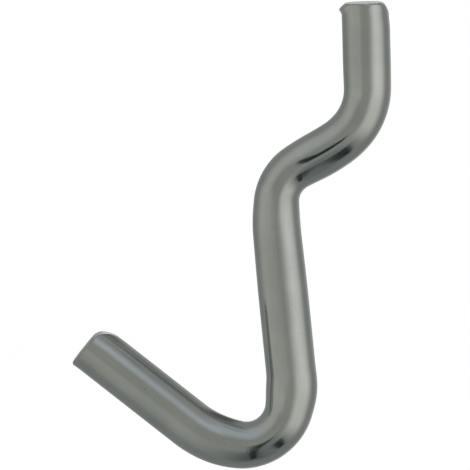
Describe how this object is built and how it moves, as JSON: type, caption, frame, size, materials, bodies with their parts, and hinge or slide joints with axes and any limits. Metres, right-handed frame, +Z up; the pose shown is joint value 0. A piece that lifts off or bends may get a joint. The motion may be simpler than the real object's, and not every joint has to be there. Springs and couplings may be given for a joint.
{
  "type": "pegboard hook",
  "caption": "Short pegboard hook bent from round steel wire: an upright peg and slanted neck that lock through a board's hole, a straight shank, and a tight crook that rises into a slanted holding arm.",
  "frame": {"origin": "on the wire's centreline where the upright peg ends and the shoulder bend starts", "axes": "+Z up along the peg, towards its free end; the bends lie in the XZ plane, the board is on the +X side of the shank and the arm reaches out towards -X; +Y is the wire's thickness, square to the plane of the bends"},
  "size_m": [0.0337, 0.005, 0.048],
  "materials": {
    "wire": "bright zinc plated steel wire, with fine lengthwise draw lines and satin gloss"
  },
  "bodies": {
    "root": {"wire_hook": "wire"}
  },
  "joints": []
}
